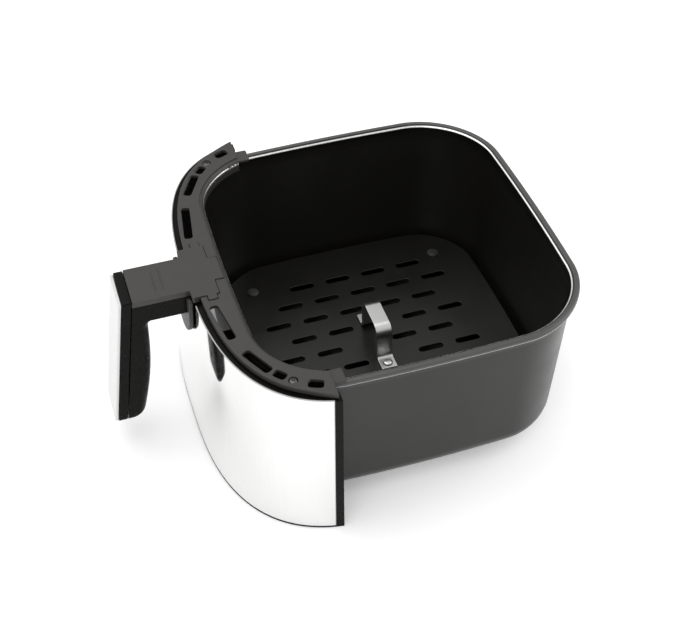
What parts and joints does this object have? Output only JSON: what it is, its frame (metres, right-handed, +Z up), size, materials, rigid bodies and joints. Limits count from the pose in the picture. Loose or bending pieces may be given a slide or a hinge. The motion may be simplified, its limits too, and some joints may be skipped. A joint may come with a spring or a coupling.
{
  "type": "air fryer drawer",
  "caption": "Pull-out drawer of a small air fryer: square pan with rolled rim, steel-skinned front, cantilevered handle and lift-out crisper plate.",
  "frame": {"origin": "centre of the pan floor's underside", "axes": "X across the drawer, -Y towards the handle, +Z up"},
  "size_m": [0.2726, 0.3176, 0.1328],
  "materials": {
    "coated_steel": "satin non-stick coating",
    "zinc_steel": "plain zinc-plated steel",
    "polished_steel": "polished, with a faint upright grain",
    "grey_plastic": "fine satin",
    "black_plastic": "satin",
    "silver_plastic": "satin silver lacquer",
    "silicone": "matt"
  },
  "bodies": {
    "drawer": {"pan": "coated_steel", "front_shell": "black_plastic", "steel_skin": "polished_steel", "collar": "grey_plastic", "collar_screw_left": "zinc_steel", "collar_screw_right": "zinc_steel", "pan_bracket_left": "zinc_steel", "pan_bracket_right": "zinc_steel", "bracket_screw_left": "zinc_steel", "bracket_screw_right": "zinc_steel", "handle_body": "black_plastic", "arm_cover": "grey_plastic", "arm_escutcheon": "grey_plastic", "arm_screw_left": "zinc_steel", "arm_screw_right": "zinc_steel", "handle_tang": "zinc_steel", "tang_screw_front": "zinc_steel", "tang_screw_rear": "zinc_steel", "handle_frame": "black_plastic", "handle_fascia": "silver_plastic", "grip_screw_upper": "zinc_steel", "grip_screw_lower": "zinc_steel"},
    "crisper": {"crisper_plate": "coated_steel", "plate_foot_front_left": "silicone", "plate_foot_front_right": "silicone", "plate_foot_rear_left": "silicone", "plate_foot_rear_right": "silicone", "lift_loop": "zinc_steel", "loop_rivet_left": "zinc_steel", "loop_rivet_right": "zinc_steel"}
  },
  "joints": [
    {"name": "crisper_lift", "type": "slide", "parent": "drawer", "child": "crisper", "axis": [0, 0, 1], "range_m": [0, 0.14]}
  ]
}
